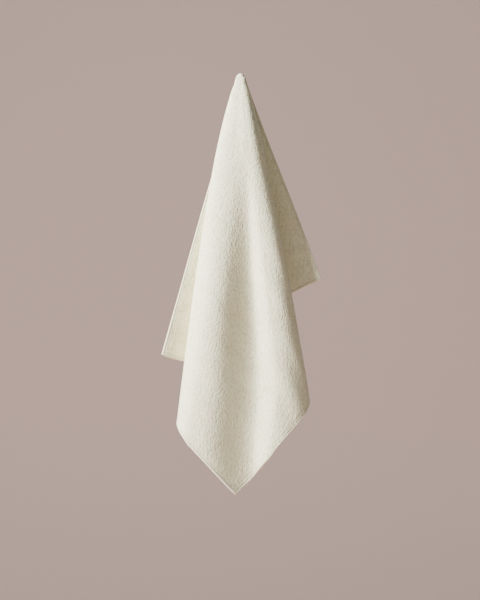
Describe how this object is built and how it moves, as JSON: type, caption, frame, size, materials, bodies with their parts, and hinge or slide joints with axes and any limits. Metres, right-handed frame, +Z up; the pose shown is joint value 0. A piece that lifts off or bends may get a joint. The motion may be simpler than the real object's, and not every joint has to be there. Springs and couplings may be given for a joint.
{
  "type": "face towel",
  "caption": "Small cream terry face towel hung by one point of its long edge, falling in fanned folds to a low front corner, with hemmed edges.",
  "frame": {"origin": "the top of the gathered cloth, at the point it hangs from", "axes": "+Z up, +X to the right seen from the front, +Y back to the wall side"},
  "size_m": [0.1586, 0.0445, 0.4166],
  "materials": {
    "cream_terry": "matte looped cotton pile, plain cream, hems turned and stitched in the same colour"
  },
  "bodies": {
    "root": {"towel": "cream_terry"}
  },
  "joints": []
}
